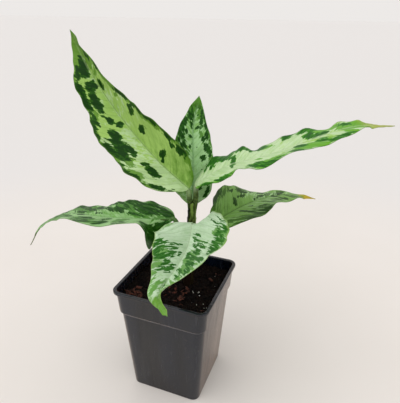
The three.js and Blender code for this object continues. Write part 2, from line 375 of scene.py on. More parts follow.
def mix_height(x, y):
    """Height of the mix's broad surface, without its crumbs."""
    broad = math.sin(x / broad_lump + 1) * math.cos(y / broad_lump)
    fine = math.sin((x + y) / fine_lump) * math.sin((y - x) / fine_lump + 2)
    return mix_level + mix_lump * (0.6 * broad + 0.4 * fine)


def crumbly_height(x, y):
    """The same height with clods and crumbs."""
    clods = noise.noise(Vector((x, y, 0)) * clod_scale)
    crumbs = noise.turbulence(Vector((x, y, 3)) * crumb_scale, 3, False)
    return mix_height(x, y) + clod_height * clods + crumb_height * (crumbs - 0.5)


def mix_half(z):
    """Half the mix's width at a height."""
    return wall_half(z) - wall_thickness - mix_gap


def rounded(x, y, half, radius):
    """Moves a place in a square of that half width into the same square with round corners."""
    straight = half - radius
    past_x = (abs(x) - straight) / radius
    past_y = (abs(y) - straight) / radius
    if past_x <= 0 or past_y <= 0:
        return x, y
    near_x = straight + radius * past_x * math.sqrt(1 - past_y ** 2 / 2)
    near_y = straight + radius * past_y * math.sqrt(1 - past_x ** 2 / 2)
    return math.copysign(near_x, x), math.copysign(near_y, y)


def mix_body():
    """A block with a crumbly top that fills the pot."""
    half = mix_half(mix_level)
    inward = wall_thickness + mix_gap
    body = bmesh.new()
    bmesh.ops.create_grid(body, x_segments=mix_steps, y_segments=mix_steps, size=half)
    rim = [edge for edge in body.edges if edge.is_boundary]
    for vert in body.verts:
        x, y = rounded(vert.co.x, vert.co.y, half, corner_radius(mix_level) - inward)
        vert.co = Vector((x, y, crumbly_height(x, y)))
    for z in (band_bottom, band_bottom - band_step, floor_thickness + mix_gap):
        made = bmesh.ops.extrude_edge_only(body, edges=rim)["geom"]
        rim = [item for item in made if isinstance(item, bmesh.types.BMEdge)]
        narrower = mix_half(z) / half
        for vert in (item for item in made if isinstance(item, bmesh.types.BMVert)):
            vert.co = Vector((vert.co.x * narrower, vert.co.y * narrower, z))
        half = mix_half(z)
    bmesh.ops.holes_fill(body, edges=rim)
    bmesh.ops.recalc_face_normals(body, faces=body.faces)
    return body


mix_finish, place = material("peat_and_coir", Specular_IOR_Level=0.12)
clods = place.noise(190, 3)
crumbs = place.noise(900, 3, 0.7)
fibres = place.stretched(1, 0.25, 1).noise(1500, 2).step(0.62, 0.72)
earth = clods.step(0.35, 0.7).mix(colour(9, 7, 8), colour(26, 17, 14))
earth = (crumbs.step(0.5, 0.75) * 0.6).mix(earth, colour(48, 30, 22))
earth = (fibres * 0.4).mix(earth, colour(90, 60, 42))
dress(
    mix_finish,
    Base_Color=earth,
    Roughness=0.8 + crumbs * 0.2,
    Normal=(crumbs + clods * 0.5).bump(mix_relief),
)
mix_piece = piece("potting_mix_surface", mix_body(), mix_finish)
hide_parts("potting_mix")
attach(mix_piece, "root")

# ---- Crumbs of the mix ----
# Loose clods of peat that lie on the surface, up to four millimetres across. They are the mix's
# own stuff and share its finish.

clod_count = 900
clod_size = (0.0005, 0.0017)
clod_flatness = 0.75
clod_seed = 4
lump_share = (0.6, 1)
lump_tilt = 0.5
lump_rise = 0.4
lump_dents = (0.7, 1.15)
stem_foot = (0.008, 0.005)
stem_clear = 0.006
all_over = ((0, 0), (0.0345, 0.0345))


def scattered(draw, centre, reach):
    """A place on the mix within reach of a centre, clear of the stem."""
    while True:
        x = centre[0] + reach[0] * draw.uniform(-1, 1)
        y = centre[1] + reach[1] * draw.uniform(-1, 1)
        if math.hypot(x - stem_foot[0], y - stem_foot[1]) > stem_clear:
            return Vector((x, y, crumbly_height(x, y)))


def lumps(count, sizes, flatness, seed, places):
    """Small uneven stones scattered over the mix, shared out between the places."""
    draw = random.Random(seed)
    heap = bmesh.new()
    for index in range(count):
        size = draw.uniform(*sizes) * draw.uniform(*lump_share)
        rise = Vector((0, 0, size * flatness * lump_rise))
        where = scattered(draw, *places[index % len(places)]) + rise
        turn = Matrix.Rotation(draw.uniform(0, math.tau), 4, "Z")
        tilt = Matrix.Rotation(draw.uniform(-lump_tilt, lump_tilt), 4, "X")
        shape = Matrix.Diagonal((size, size * draw.uniform(*lump_share), size * flatness, 1))
        made = bmesh.ops.create_icosphere(
            heap, subdivisions=1, radius=1, matrix=Matrix.Translation(where) @ turn @ tilt @ shape
        )
        for vert in made["verts"]:
            vert.co = where + (vert.co - where) * draw.uniform(*lump_dents)
    return heap


heap = lumps(clod_count, clod_size, clod_flatness, clod_seed, [all_over])
clods_piece = piece("peat_crumbs", heap, mix_finish)
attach(clods_piece, "root")

# ---- Bark ----
# Flat red-brown chips of composted pine bark, two to five millimetres long. Most of them lie
# along the front left wall and in front of the cane.

bark_count = 66
bark_length = (0.002, 0.0048)
bark_width = (0.2, 0.45)
bark_thickness = 0.0006
bark_tilt = 0.6
bark_seed = 11
bark_relief = 0.0004
bark_places = [
    ((-0.027, -0.0245), (0.0085, 0.0035)),
    ((-0.027, -0.0245), (0.0085, 0.0035)),
    ((0.0045, -0.013), (0.008, 0.007)),
    ((0, 0), (0.032, 0.032)),
]


def bark_chips():
    """Flat blocks with broken edges, each on the mix at its own slant."""
    draw = random.Random(bark_seed)
    heap = bmesh.new()
    for index in range(bark_count):
        length = draw.uniform(*bark_length)
        rise = Vector((0, 0, bark_thickness))
        where = scattered(draw, *bark_places[index % len(bark_places)]) + rise
        turn = Matrix.Rotation(draw.uniform(0, math.tau), 4, "Z")
        tilt = Matrix.Rotation(draw.uniform(-bark_tilt, bark_tilt), 4, "X")
        shape = Matrix.Diagonal((length, length * draw.uniform(*bark_width), bark_thickness, 1))
        move = Matrix.Translation(where) @ turn @ tilt @ shape
        made = bmesh.ops.create_cube(heap, size=1, matrix=move)
        edges = dict.fromkeys(edge for vert in made["verts"] for edge in vert.link_edges)
        bmesh.ops.subdivide_edges(
            heap, edges=list(edges), cuts=1, fractal=0.6, along_normal=0.2, seed=index,
            use_grid_fill=True,
        )
    bmesh.ops.recalc_face_normals(heap, faces=heap.faces)
    return heap


bark_finish, place = material("pine_bark", Specular_IOR_Level=0.3)
layers = place.stretched(1, 1, 3).noise(700, 3, 0.6)
dress(
    bark_finish,
    Base_Color=layers.step(0.35, 0.65).mix(colour(36, 18, 14), colour(98, 50, 34)),
    Roughness=0.65 + layers * 0.3,
    Normal=layers.bump(bark_relief),
)
bark = piece("bark_chips", bark_chips(), bark_finish)
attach(bark, "root")

# ---- Perlite ----
# A few white grains of expanded volcanic glass, about a millimetre across, mixed in to keep the
# peat open. Most of them show to the right of the cane.

perlite_count = 30
perlite_size = (0.0003, 0.0007)
perlite_flatness = 0.8
perlite_seed = 23
perlite_relief = 0.0003
perlite_places = [
    ((0.019, -0.006), (0.005, 0.003)),
    ((0.032, -0.021), (0.004, 0.005)),
    ((0, 0), (0.033, 0.033)),
]

perlite_finish, place = material("perlite", Specular_IOR_Level=0.3)
pits = place.noise(2200, 2)
dress(
    perlite_finish,
    Base_Color=pits.mix(colour(188, 184, 178), colour(240, 238, 232)),
    Roughness=0.8 + pits * 0.2,
    Normal=pits.bump(perlite_relief),
)
heap = lumps(perlite_count, perlite_size, perlite_flatness, perlite_seed, perlite_places)
perlite = piece("perlite_grains", heap, perlite_finish)
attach(perlite, "root")

# ---- Stem ----
# A green cane, ten millimetres thick at its foot and six at its top, which stands in the mix. The
# sheaths that the leaf stalks grow from wrap it, and painted shade darkens its left side.

stem_route = [(0.008, 0.005, 0.062), (0.008, 0.005, 0.093), (0.009, 0.005, 0.125)]
stem_route += [(0.010, 0.006, 0.150), (0.010, 0.007, 0.166)]
stem_base_radius = 0.005
stem_top_radius = 0.0029
sheath_ends = (0.098, 0.112, 0.120, 0.132, 0.143, 0.153)
sheath_step = 0.00035
sheath_length = 0.006
stem_shoulder = 0.96
stem_bluntness = 0.9
stem_sides = 28
stem_steps = 90
lit_side_way = (0.93, 0.36)
painted_shade_fade = (0.0088, 0.0112)
stained_to = (0.104, 0.120)
stem_relief = 0.00025


def along(points, share):
    """The place on a smooth curve through the points, at a share of its way, and its heading."""
    spans = len(points) - 1
    index = min(int(share * spans), spans - 1)
    t = share * spans - index
    start = points[index]
    end = points[index + 1]
    before = points[index - 1] if index > 0 else 2 * start - end
    after = points[index + 2] if index + 2 <= spans else 2 * end - start
    leave = (end - before) / 2
    arrive = (after - start) / 2
    square = 3 * (end - start) - 2 * leave - arrive
    cube = 2 * (start - end) + leave + arrive
    place = start + leave * t + square * t ** 2 + cube * t ** 3
    heading = leave + 2 * square * t + 3 * cube * t ** 2
    return place, heading.normalized()


def rod(bm, points, radius_at, sides, steps):
    """A closed rod along the curve through the points. Gives its faces."""
    known = set(bm.faces)
    place, heading = along(points, 0)
    radius = radius_at(0)
    turn = Vector((0, 0, 1)).rotation_difference(heading).to_matrix().to_4x4()
    bmesh.ops.create_circle(
        bm, cap_ends=True, segments=sides, radius=radius, matrix=Matrix.Translation(place) @ turn
    )
    face = next(face for face in bm.faces if face not in known)
    for step in range(1, steps + 1):
        share = step / steps
        next_place, next_heading = along(points, share)
        next_radius = radius_at(share)
        face = draw_on(bm, face, step == 1)
        bend = heading.rotation_difference(next_heading).to_matrix().to_4x4()
        grow = Matrix.Scale(next_radius / radius, 4)
        move = Matrix.Translation(next_place) @ bend @ grow @ Matrix.Translation(-place)
        bmesh.ops.transform(bm, matrix=move, verts=face.verts)
        place, heading, radius = next_place, next_heading, next_radius
    made = [face for face in bm.faces if face not in known]
    bmesh.ops.recalc_face_normals(bm, faces=made)
    return made


def stem_radius(share):
    """The cane thins towards its top, and steps in where a sheath ends."""
    z = stem_route[0][2] + share * (stem_route[-1][2] - stem_route[0][2])
    ends = [(end - z) / sheath_length for end in sheath_ends]
    nearest = min([distance for distance in ends if distance >= 0] + [1])
    plain = stem_base_radius + (stem_top_radius - stem_base_radius) * share
    blunt = max(0, share - stem_shoulder) / (1 - stem_shoulder)
    return (plain + sheath_step * (1 - nearest)) * math.sqrt(1 - stem_bluntness * blunt ** 2)


stem_finish, place = material("green_cane", Roughness=0.42, Specular_IOR_Level=0.08)
lines = place.stretched(1, 1, 0.06).noise(900, 2)
blush = place.stretched(1, 1, 0.18).noise(330, 2).step(0.45, 0.60)
stained = 1 - (place.part("Z") + blush * 0.006).step(*stained_to)
right = place.part("X") * lit_side_way[0] + place.part("Y") * lit_side_way[1]
skin = lines.step(0.35, 0.65).mix(colour(8, 16, 2), colour(42, 60, 16))
skin = (blush * 0.85).mix(skin, colour(112, 136, 62))
# Painted shade: the cane's left side is darkened nearly to black.
skin = ((1 - right.step(*painted_shade_fade)) * 0.9).mix(skin, colour(6, 11, 2))
skin = (stained * 0.94).mix(skin, lines.mix(colour(14, 9, 8), colour(40, 26, 18)))
dress(stem_finish, Base_Color=skin, Normal=lines.bump(stem_relief))

bm = bmesh.new()
rod(bm, [Vector(point) for point in stem_route], stem_radius, stem_sides, stem_steps)
stem = piece("cane", bm, stem_finish)
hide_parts("stem")
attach(stem, "root")

# ---- Leaves ----
# Each leaf is a thin waved blade with a midrib that stands out below, on a stalk that clasps the
# cane. Its pattern is grown in: dark green cells over a pale silvery ground, along its side veins.

blade_thickness = 0.0006
edge_thickness = 0.00025
rib_depth = 0.0009
rib_reach = 0.0012
groove_depth = 0.0004
least_half_width = 0.0003
waved_width = (0.0008, 0.008)
waved_base = (0, 0.04)
lobe_reach = 0.25
ruffle_length = 0.0085
scallop = 0.08
waist_span = (0.73, 0.82)
tail_span = (0.95, 1)
blade_steps = 150
blade_columns = 48
vein_spacing = 0.0075
vein_depth = 0.00016
vein_lean = 0.75
vein_bend = 14.0
vein_clear = (0, 0.004)
vein_line = (0.92, 1.0)
vein_relief = 0.0003
petiole_base = 0.0023
petiole_end = 0.0009
petiole_sides = 16
petiole_steps = 36
petiole_drops = [(0, 0.0018), (0.035, 0.0015), (0.08, 0.0010)]
petiole_blend = (0.001, 0.009)
petiole_relief = 0.0001
least_patch = 0.0022
dark_edge = 0.00014
deep_rise = (0.0002, 0.0016)
halo_width = 0.0006
green_edge = 0.00025
cloud_scale = 110
grain_scale = 2400
side_apart = 0.05
layer_apart = 3.7
rib_tint = (0.0006, 0.0016)
rib_line_tint = (0.00012, 0.0004)
rim_tint = (0.95, 1.0)
leaf_relief = 0.00022
dull_green = colour(116, 142, 96)
leaf_colours = ("silver", "fresh", "green", "dark", "deep", "tip", "rim", "rib", "rib_line")
leaf_colours += ("stalk_green", "stalk_light")
usual_form = {"lobe": (0, 0), "droop": None, "waist": (0, 0), "tail": 0, "edges": [(), ()]}


def turned(low, high, value):
    """0 below low, 1 above high, and a smooth turn between them."""
    share = min(max((value - low) / (high - low), 0), 1)
    return share * share * (3 - 2 * share)


def blade_frame(leaf, u):
    """The midrib's place at a share from base to tip, with the blade's side and upward ways."""
    share = min(max(u, 0), 1)
    place, forward = along(leaf["midrib"], share)
    if u < 0:
        nudge = 0.001
        place = place + (along(leaf["midrib"], nudge)[0] - place) * (u / nudge)
    base, middle, tip = leaf["faces"]
    up = base * (1 - share) ** 2 + middle * 2 * share * (1 - share) + tip * share ** 2
    up = (up - forward * up.dot(forward)).normalized()
    return place, forward.cross(up), up


def half_width(leaf, u):
    """Half the blade's width. It rises from the base, narrows to the tip, and may end in a tail."""
    widest = leaf["round"] / (leaf["round"] + leaf["point"])
    rise = (max(u, 0) / widest) ** leaf["round"]
    fall = (max(1 - u, 0) / (1 - widest)) ** leaf["point"]
    tail = leaf["tail"] * (1 - turned(*tail_span, u)) if u > widest else 0
    return max(leaf["half_width"] * rise * fall, tail, least_half_width)


def place_along(leaf, u, v, width, broad):
    """Where along the midrib a place stands: a lobe draws the base back, or cuts it slantwise."""
    lobe = leaf["lobe"][0 if v < 0 else 1]
    if lobe < 0:
        margin = -lobe * width / leaf["half_width"]
        return u + abs(v) * max(0, margin - u)
    return u - lobe * v * v * max(0, 1 - u / lobe_reach) ** 2 * broad


def vein_place(distance, across):
    """Which side vein runs through a place, as where that vein leaves the midrib."""
    return distance - abs(across) * vein_lean - across * across * vein_bend


def blade_place(leaf, u, v):
    """A place in the middle of the blade's thickness, v being its share of the half width.

    The outline is drawn in at the waist, scalloped, and shaped where its edges say so. The
    blade is then folded along its midrib, waved and ruffled, which all fade out where it is narrow.
    """
    half = 0 if v < 0 else 1
    width = half_width(leaf, u)
    broad = turned(*waved_width, width) * turned(*waved_base, u)
    ruffle = noise.noise(Vector((u * leaf["length"] / ruffle_length, 7 * half, 9 * leaf["seed"])))
    waist = leaf["waist"][half] * turned(*waist_span, u)
    width *= (1 - waist) * (1 + scallop * ruffle * broad)
    for middle, reach, share in leaf["edges"][half]:
        width *= 1 + share * max(0, 1 - ((u - middle) / reach) ** 2) ** 2
    place, side, up = blade_frame(leaf, place_along(leaf, u, v, width, broad))
    fold = leaf["fold"][0][half] * (1 - u) + leaf["fold"][1][half] * u
    if leaf["droop"] and half == 0:
        angle, start, end = leaf["droop"]
        fold -= angle * (1 - turned(start, end, u))
    fold = math.radians(fold) * broad
    height, count, shifts = leaf["wave"]
    wave = height * broad * math.sin(math.tau * (count * u + shifts[half]))
    calm = min(1, 4 * u * (1 - u) + 0.25)
    wave += leaf["ruffle"] * broad * ruffle * v * v
    lift = abs(v) * width * math.sin(fold) + v * v * (wave * calm - leaf["curl"][half] * width)
    return place + side * (v * width * math.cos(fold)) + up * lift


def patch_depth(leaf, patches, plain, solid, u, v):
    """How deep inside a patch of the pattern a place is, in metres, and below 0 how far from one."""
    width = half_width(leaf, u)
    deepest = -plain
    for patch_u, patch_v, reach_u, reach_v in patches:
        lean = leaf["slant"] * (abs(v) - abs(patch_v))
        off = math.hypot((u - patch_u - lean) / reach_u, (v - patch_v) / reach_v)
        size = max(least_patch, min(reach_u * leaf["length"], reach_v * width))
        deepest = max(deepest, min(solid, size * (1 - off)))
    return deepest


def freshness(leaf, u, v):
    """How fresh a green the palest ground is: 0 silvery and 1 yellow-green."""
    base, middle, tip = leaf["ground"][0 if v < 0 else 1]
    if u < 0.5:
        return base + (middle - base) * u * 2
    return middle + (tip - middle) * (u * 2 - 1)


def blade(bm, leaf):
    """The blade: a grid bent to the leaf's form, then drawn out to its thickness."""
    bmesh.ops.create_grid(bm, x_segments=blade_steps, y_segments=blade_columns, size=1)
    spots = bm.verts.layers.float_vector.new("spot")
    patterns = bm.verts.layers.float_vector.new("pattern")
    sunk = {}
    for vert in bm.verts:
        t = (vert.co.x + 1) / 2
        u = 0.5 * t + 0.25 * (1 - math.cos(math.pi * t))
        v = -vert.co.y
        across = v * half_width(leaf, u)
        vert[spots] = Vector((u * leaf["length"], across, v))
        vert[patterns] = Vector((
            patch_depth(leaf, leaf["patches"], leaf["plain"], leaf["solid"], u, v),
            patch_depth(leaf, leaf["greens"], leaf["clear"], leaf["solid"], u, v),
            freshness(leaf, u, v),
        ))
        rib = max(0, 1 - abs(across) / rib_reach) * 4 * u * (1 - u)
        vein = math.cos(math.tau * vein_place(u * leaf["length"], across) / vein_spacing)
        flat = turned(*vein_clear, abs(across)) * (1 - v * v)
        sunk[vert] = (v, rib, vein * vein_depth * flat)
        vert.co = blade_place(leaf, u, v)

    bm.normal_update()
    lower = list(bm.verts)
    normals = {vert: vert.normal.copy() for vert in lower}
    under = list(bm.faces)
    made = bmesh.ops.extrude_face_region(bm, geom=under, use_keep_orig=True)["geom"]
    upper = [item for item in made if isinstance(item, bmesh.types.BMVert)]
    by_place = {tuple(vert.co): vert for vert in upper}
    for vert in lower:
        twin = by_place[tuple(vert.co)]
        v, rib, vein = sunk[vert]
        thick = (edge_thickness + (blade_thickness - edge_thickness) * (1 - v ** 4)) / 2
        twin.co += normals[vert] * (thick - vein - groove_depth * rib)
        vert.co -= normals[vert] * (thick + vein + rib_depth * rib)
    bmesh.ops.reverse_faces(bm, faces=under)
    for face in under:
        face.material_index = 1


def petiole(bm, leaf):
    """The stalk, from inside the cane to a little way below the midrib."""
    route = list(leaf["stalk"])
    for u, drop in petiole_drops:
        place, _, up = blade_frame(leaf, u)
        route.append(place - up * drop)
    taper = petiole_end - petiole_base
    spots = bm.verts.layers.float_vector["spot"]
    made = rod(
        bm, route, lambda share: petiole_base + taper * share ** 1.5, petiole_sides, petiole_steps
    )
    for face in made:
        face.material_index = 2
        for vert in face.verts:
            vert[spots] = Vector(((vert.co - leaf["midrib"][0]).length, 0, 0))


def leaf_finishes(name, leaf):
    """The blade's upper face, its duller underside, and the stalk.

    The pattern stretches along the side veins. Dark cells stand in a halo of green, on a ground that
    runs from silver through fresh to green, and each is broken up by noise in the cells' own size.
    """
    made = []
    for side in ("upper", "under"):
        finish, place = material(f"{name}_{side}", Specular_IOR_Level=0.09)
        spot = place.node("Attribute", {"attribute_name": "spot"}, {}, 1)
        pattern = place.node("Attribute", {"attribute_name": "pattern"}, {}, 1)
        distance, across, edge = (spot.part(axis) for axis in "XYZ")
        dark_depth, green_depth, fresh = (pattern.part(axis) for axis in "XYZ")
        off = across.math("ABSOLUTE")
        line = distance - off * vein_lean - across * across * vein_bend
        half = across.math("SIGN") * side_apart + leaf["seed"]
        slow = off * leaf["streaks"]
        cells = place.node("CombineXYZ", {}, {0: line, 1: slow, 2: half})
        layer = place.node("CombineXYZ", {}, {0: line, 1: slow, 2: half + layer_apart})

        broad, fine = leaf["ragged"]
        ragged = cells.noise(leaf["cells"], 3, 0.6) - 0.5
        flecks = cells.noise(leaf["cells"] * 3.4, 2, 0.6) - 0.5
        layered = layer.noise(leaf["cells"] * 1.2, 4, 0.65) - 0.5
        grain = cells.noise(grain_scale, 2)
        broken = dark_depth + ragged * broad + flecks * fine
        dark = broken.step(-dark_edge, dark_edge)
        deep = (broken + flecks * 0.006).step(*deep_rise)
        beside = broken + layered * broad * 0.9 - halo_width
        middle = (green_depth + layered * broad * 1.2 + flecks * fine).math("MAXIMUM", beside)
        green = middle.step(-green_edge, green_edge)

        wash = fresh + layered * 1.5 + flecks * 0.5
        clouds = layer.noise(cloud_scale, 3, 0.6).step(0.42, 0.62)
        mottle = (layer.noise(leaf["cells"] * 2.2, 4, 0.7) + flecks * 0.5).step(0.5, 0.62)
        ground = wash.step(0.38, 0.52).mix(leaf["silver"], leaf["fresh"])
        ground = (wash.step(0.75, 1.35) * 0.8).mix(ground, leaf["green"])
        ground = (clouds * 0.22).mix(ground, leaf["green"])
        ground = (mottle * 0.3).mix(ground, leaf["fresh"])
        ground = (grain.step(0.35, 0.8) * 0.2).mix(ground, leaf["green"])
        ground = (green * 0.9).mix(ground, leaf["green"])

        tip = (distance * (1 / leaf["length"]) + ragged * 0.08).step(*leaf["tip_span"])
        skin = dark.mix(ground, deep.mix(leaf["dark"], leaf["deep"]))
        skin = ((1 - off.step(*rib_tint)) * 0.35).mix(skin, leaf["rib"])
        skin = ((1 - off.step(*rib_line_tint)) * 0.6).mix(skin, leaf["rib_line"])
        skin = (tip * 0.88).mix(skin, leaf["tip"])
        skin = (edge.math("ABSOLUTE").step(*rim_tint) * 0.65).mix(skin, leaf["rim"])
        waves = (line * (math.tau / vein_spacing)).math("COSINE")
        veins = (waves * 0.5 + 0.5).step(*vein_line)
        if side == "upper":
            skin = (veins * 0.14).mix(skin, leaf["dark"])
            relief = grain * 0.18 + ragged * 0.5 - veins * 0.5
            shine = 0.34 + grain * 0.14
            dress(finish, Base_Color=skin, Roughness=shine, Normal=relief.bump(leaf_relief))
        else:
            skin = (veins * 0.3 + 0.35).mix(skin, dull_green)
            shine = 0.55 + grain * 0.2
            dress(finish, Base_Color=skin, Roughness=shine, Normal=veins.bump(vein_relief))
        made.append(finish)

    stalk, place = material(f"{name}_stalk", Roughness=0.4, Specular_IOR_Level=0.15)
    lines = place.noise(700, 2)
    to_blade = place.node("Attribute", {"attribute_name": "spot"}, {}, 1).part("X")
    skin = lines.step(0.35, 0.75).mix(leaf["stalk_green"], leaf["stalk_light"])
    skin = ((1 - to_blade.step(*petiole_blend)) * 0.5).mix(skin, leaf["rib"])
    dress(stalk, Base_Color=skin, Normal=lines.bump(petiole_relief))
    made.append(stalk)
    return made


def grow_leaf(node, **leaf):
    """Makes the leaf that stands for a node. The slot that it is given is not used.

    stalk and midrib are the points that they run through. faces are the ways that the upper side
    looks at the base, the middle and the tip. fold, in degrees, is given for the base and for the tip,
    and every pair is for the blade's two halves. droop hangs a half down at its base, a lobe draws a
    half's base back or cuts it, and waist, tail and edges change the outline. patches and greens are
    places along and across the blade, with how far they reach in each direction, in hundredths. Stray
    cells grow between them where plain and clear are small, and they break up where solid is small.
    """
    leaf = {**usual_form, **leaf}
    for name in ("patches", "greens"):
        leaf[name] = [[value / 100 for value in patch] for patch in leaf[name]]
    for name in leaf_colours:
        leaf[name] = colour(*leaf[name])
    for name in ("stalk", "midrib"):
        leaf[name] = [Vector(point) for point in leaf[name]]
    leaf["faces"] = [Vector(face).normalized() for face in leaf["faces"]]
    places = [along(leaf["midrib"], step / 40)[0] for step in range(41)]
    leaf["length"] = sum((b - a).length for a, b in zip(places, places[1:]))
    bm = bmesh.new()
    blade(bm, leaf)
    petiole(bm, leaf)
    made = piece(node.replace("leaf_", "blade_"), bm, *leaf_finishes(node, leaf))
    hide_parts(node)
    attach(made, "root")


# ---- Leaf at the upper left ----
# The largest leaf. It rises to the left, folds a little along its midrib and shows its whole
# face, whose large dark blotches lie far apart on a yellow-green ground.

grow_leaf(
    "leaf_upper_left",
    slot="leaf_silver",
    stalk=[(0.010, 0.006, 0.150), (0.008, 0.007, 0.166)],
    midrib=[
        (0.006, 0.010, 0.174), (-0.023, 0.012, 0.195), (-0.057, 0.021, 0.222),
        (-0.085, 0.028, 0.252), (-0.110, 0.039, 0.284),
    ],
    half_width=0.026,
    round=0.55,
    point=1,
    faces=[(1, -0.2, 0), (0.3, -0.9, -0.2), (0, -1, -0.2)],
    fold=[(10, 50), (40, 30)],
    curl=(0.05, -0.05),
    wave=(0.0021, 4, (0.3, 0.65)),
    ruffle=0.0012,
    patches=[
        (16, 93, 4, 18), (21, 82, 2, 8), (26, 95, 3.5, 12), (23, 33, 1.8, 17), (21, 13, 1, 8),
        (37, 45, 2, 16), (45, 65, 1.8, 15), (47, 80, 1.8, 12), (67, 28, 3.2, 22),
        (52, 98, 4.5, 12), (40, 100, 6, 12), (21, -42, 5, 14), (35, -42, 5.5, 14),
        (43, -52, 4, 14), (37, -68, 7, 18), (40, -86, 6, 14), (13, -86, 5, 14), (47, -14, 2, 11),
        (51, -37, 2.2, 13), (64, -45, 8.5, 22), (70, -20, 2.2, 18), (67, -85, 13, 18),
        (80, -30, 5.5, 32), (80, -72, 5, 18), (52, -98, 6, 12), (25, -98, 8, 10), (84, 80, 5, 16),
        (73, 97, 6, 12), (57, 92, 3, 12), (33, 99, 6, 8),
    ],
    greens=[
        (24, -85, 5, 14), (30, -72, 4.5, 12), (57, -75, 3, 12), (60, 95, 6, 15), (57, 70, 1.2, 10),
        (36, 92, 7, 12), (86, -50, 9, 70), (85, 60, 10, 55), (73, 45, 1.4, 28), (80, 50, 1.8, 32),
        (68, 94, 6, 14), (10, 92, 5, 16), (88, -5, 6, 25), (48, 98, 42, 9), (48, -98, 42, 9),
    ],
    plain=0.0042,
    clear=0.0050,
    solid=0.0040,
    cells=125,
    ragged=(0.0085, 0.0034),
    streaks=0.85,
    slant=0,
    seed=0.31,
    ground=[(0.12, 0.58, 0.75), (1.20, 0.52, 0.62)],
    tip_span=(0.86, 0.97),
    silver=(186, 214, 160), fresh=(160, 198, 104), green=(90, 136, 40), dark=(40, 88, 14),
    deep=(18, 58, 8), tip=(72, 116, 22), rim=(90, 128, 48), rib=(168, 198, 138),
    rib_line=(74, 106, 44), stalk_green=(36, 56, 14), stalk_light=(82, 106, 44),
)

# ---- Upright leaf ----
# The smallest leaf stands almost straight up behind the cane. Its pattern is finely broken, and
# most of its dark cells are in its upper half.

grow_leaf(
    "leaf_upright",
    slot="leaf_dark",
    stalk=[(0.009, 0.005, 0.116), (0.007, 0.018, 0.136)],
    midrib=[
        (0, 0.030, 0.151), (0.003, 0.026, 0.172), (0, 0.033, 0.195),
        (-0.005, 0.047, 0.215), (-0.007, 0.064, 0.235),
    ],
    half_width=0.017,
    round=0.6,
    point=0.9,
    faces=[(0.3, -0.9, 0.3), (0.4, -0.8, 0.4), (0.2, -0.8, 0.6)],
    fold=[(5, 5), (40, 25)],
    curl=(0.1, 0.1),
    wave=(0.0015, 4, (-0.4, 0.5)),
    ruffle=0.0010,
    patches=[
        (39, 85, 2.5, 15), (37, 55, 1.4, 14), (46, 52, 2.5, 16), (50, 88, 3.5, 12),
        (55, 72, 3.5, 14), (61, 58, 2.5, 10), (65, 80, 5, 14), (55, 22, 1.2, 5), (72, 30, 1.2, 15),
        (78, 62, 7, 14), (76, 92, 10, 12), (83, 30, 1.5, 12), (56, -14, 2.5, 8),
        (64, -15, 1.4, 14), (56, -52, 5, 18), (64, -62, 3.5, 10), (68, -48, 3, 8),
        (69, -88, 5, 14), (74, -15, 5, 11), (80, -30, 3.5, 22), (57, -95, 5, 12),
        (60, -82, 2.5, 12), (42, -60, 4, 12), (30, -85, 8, 18), (18, 80, 6, 12), (22, 35, 3, 12),
        (36, -30, 3, 10), (86, 75, 4, 20), (84, -62, 7, 30), (72, -80, 10, 26), (92, -20, 3, 35),
        (91, 50, 3.5, 30), (38, 80, 4, 20),
    ],
    greens=[
        (86, -55, 8, 50), (91, -10, 5, 30), (86, 70, 7, 40), (70, 95, 16, 14), (63, -92, 14, 14),
        (45, 90, 6, 12), (66, 45, 3, 10), (50, -30, 3, 12),
    ],
    plain=0.0026,
    clear=0.0040,
    solid=0.0014,
    cells=230,
    ragged=(0.0075, 0.0040),
    streaks=0.6,
    slant=0.03,
    seed=0.62,
    ground=[(0.60, 0.35, 0.60), (0.10, 0.25, 0.60)],
    tip_span=(0.86, 0.95),
    silver=(164, 206, 148), fresh=(128, 176, 96), green=(72, 124, 36), dark=(42, 94, 22),
    deep=(20, 62, 10), tip=(72, 122, 30), rim=(66, 110, 44), rib=(128, 168, 118),
    rib_line=(84, 124, 74), stalk_green=(34, 56, 14), stalk_light=(84, 116, 52),
)

# ---- Leaf at the upper right ----
# A long leaf that runs out level to the right into a thin dry tip. It is pale along its middle,
# green and dark along both edges, and the most ruffled of the six.

